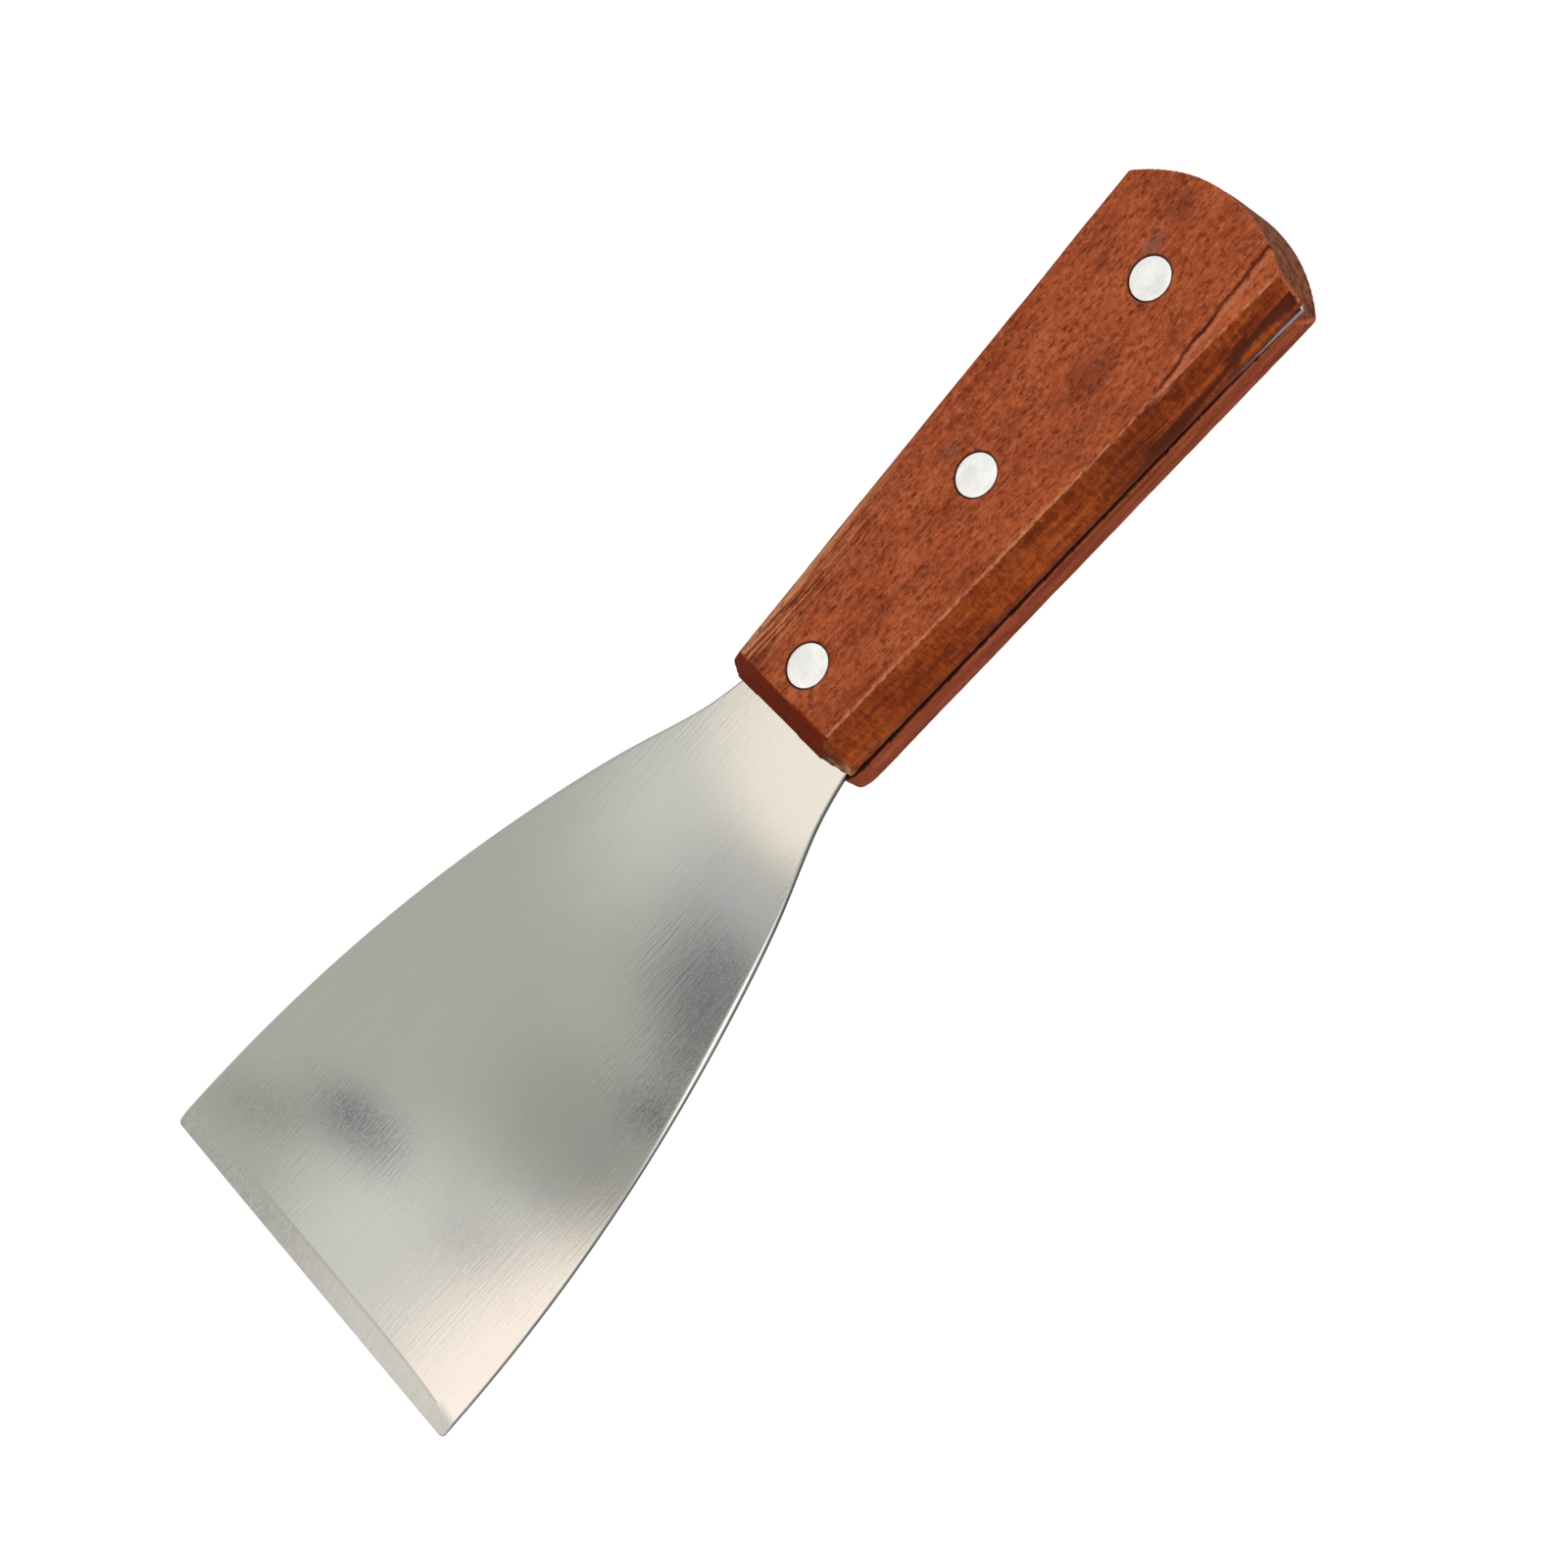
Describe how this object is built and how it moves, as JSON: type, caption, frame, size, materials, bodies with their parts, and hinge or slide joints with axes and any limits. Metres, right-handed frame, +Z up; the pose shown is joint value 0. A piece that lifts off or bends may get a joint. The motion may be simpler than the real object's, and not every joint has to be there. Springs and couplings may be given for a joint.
{
  "type": "putty knife",
  "caption": "Stiff putty and taping knife: flared steel blade with a ground edge and a full tang, riveted between faceted wooden scales that widen to a rounded butt.",
  "frame": {"origin": "middle of the bounding box, at the lower scale's outer face, on which the knife lies", "axes": "+X from the butt to the working edge, +Y across the blade, +Z up through the handle's thickness"},
  "size_m": [0.2152, 0.076, 0.0164],
  "materials": {
    "blade_steel": "satin stainless steel, ground along the blade, with fine cross scratches on the bevel",
    "handle_wood": "oiled reddish hardwood with dark open pores along the handle and lighter worn edges",
    "rivet_aluminium": "pale aluminium, sanded flush with the wood"
  },
  "bodies": {
    "root": {"blade": "blade_steel", "upper_scale": "handle_wood", "lower_scale": "handle_wood", "front_rivet_male": "rivet_aluminium", "front_rivet_female": "rivet_aluminium", "middle_rivet_male": "rivet_aluminium", "middle_rivet_female": "rivet_aluminium", "rear_rivet_male": "rivet_aluminium", "rear_rivet_female": "rivet_aluminium"}
  },
  "joints": []
}
